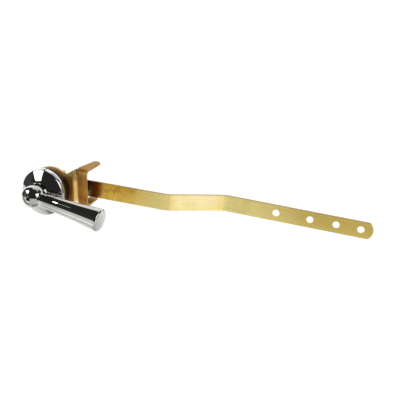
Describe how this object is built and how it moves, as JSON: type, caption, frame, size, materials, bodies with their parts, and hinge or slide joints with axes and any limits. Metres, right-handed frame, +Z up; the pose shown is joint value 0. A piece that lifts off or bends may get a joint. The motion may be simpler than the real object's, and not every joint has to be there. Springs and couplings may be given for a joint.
{
  "type": "cistern trip lever",
  "caption": "Chrome toilet tank handle with a domed escutcheon, a brass stop bracket and a bent flat brass lift arm with a row of lift holes, turning on one spindle.",
  "frame": {"origin": "on the spindle axis at the outer face of the tank wall, where the sealing washer seats", "axes": "+Y along the spindle into the tank, +X towards the free end of the arm, +Z up"},
  "size_m": [0.2477, 0.1035, 0.0507],
  "materials": {
    "handle_chrome": "polished",
    "screw_chrome": "polished",
    "escutcheon_chrome": "polished",
    "washer_rubber": "matte",
    "fitting_brass": "machined",
    "bracket_brass": "stamped, slightly tarnished",
    "arm_brass": "brushed along its length"
  },
  "bodies": {
    "fixed": {"escutcheon": "escutcheon_chrome", "tank_washer": "washer_rubber", "spud": "fitting_brass", "stop_bracket": "bracket_brass", "lock_nut": "fitting_brass"},
    "moving": {"handle": "handle_chrome", "handle_screw": "screw_chrome", "spindle": "fitting_brass", "trip_arm": "arm_brass"}
  },
  "joints": [
    {"name": "lever_turn", "type": "hinge", "parent": "fixed", "child": "moving", "pos_m": [0, 0, 0], "axis": [0, -1, 0], "range_deg": [0, 20]}
  ]
}
